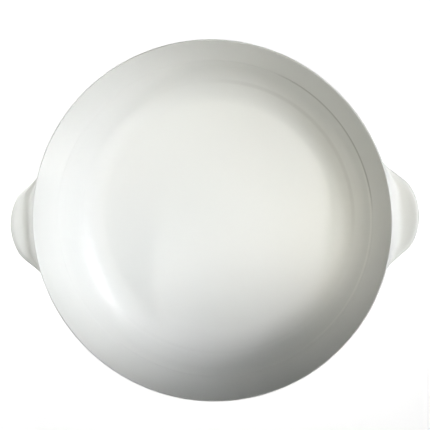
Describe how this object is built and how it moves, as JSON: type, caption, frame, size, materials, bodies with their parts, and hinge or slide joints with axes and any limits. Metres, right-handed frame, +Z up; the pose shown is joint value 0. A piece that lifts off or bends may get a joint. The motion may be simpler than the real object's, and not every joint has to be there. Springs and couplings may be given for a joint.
{
  "type": "soup plate",
  "caption": "Round white glazed soup plate with a sloping wall, a slightly flared band under a rounded lip, a foot ring and a lug ear on each side.",
  "frame": {"origin": "middle of the foot ring, in the plane that the plate stands on", "axes": "+Z up out of the bowl, X through both ears, Y across"},
  "size_m": [0.2508, 0.22, 0.044],
  "materials": {
    "glaze": "glossy white glaze with a faint grey-green cast, and a dry unglazed foot"
  },
  "bodies": {
    "root": {"soup_plate": "glaze"}
  },
  "joints": []
}
